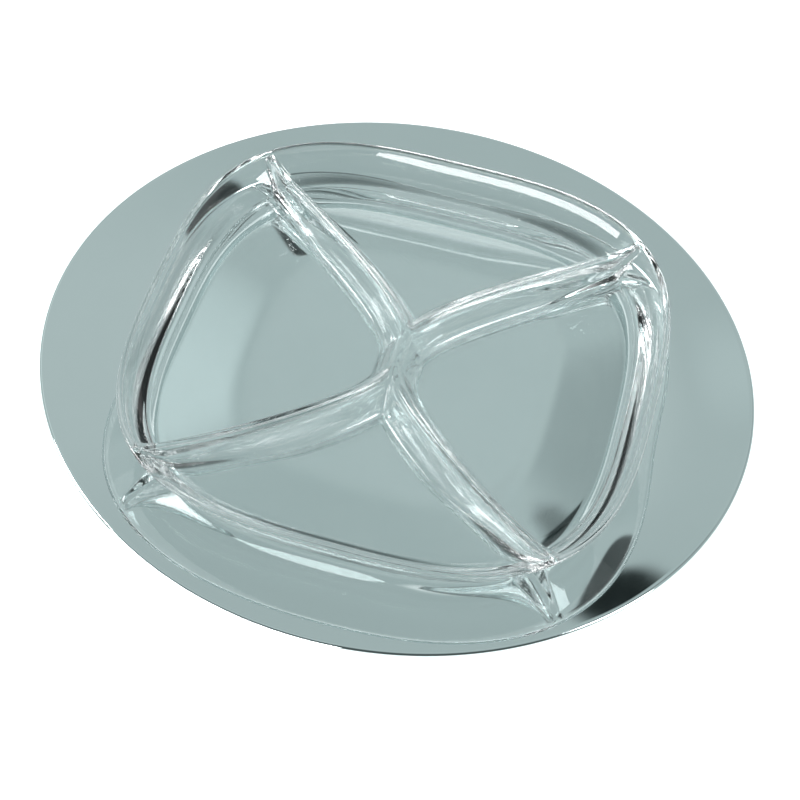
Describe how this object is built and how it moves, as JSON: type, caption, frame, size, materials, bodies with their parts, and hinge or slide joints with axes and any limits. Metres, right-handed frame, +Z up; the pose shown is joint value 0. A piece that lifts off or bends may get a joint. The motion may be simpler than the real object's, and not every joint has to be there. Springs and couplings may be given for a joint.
{
  "type": "chip and dip server",
  "caption": "Shallow oval mirror-polished metal tray carrying a loose, clear, rounded-square glass dish divided into compartments by curved hollow ridges.",
  "frame": {"origin": "centre of the tray's flat foot, on the surface that the server stands on", "axes": "+Z up, +X along the longer axis of the oval tray, +Y along its shorter axis"},
  "size_m": [0.4, 0.376, 0.0312],
  "materials": {
    "polished_metal": "mirror polished",
    "clear_glass": "clear, fire polished"
  },
  "bodies": {
    "tray": {"tray": "polished_metal"},
    "dish": {"dish": "clear_glass"}
  },
  "joints": [
    {"name": "dish_lift", "type": "slide", "parent": "tray", "child": "dish", "axis": [0, 0, 1], "range_m": [0, 0.08]}
  ]
}
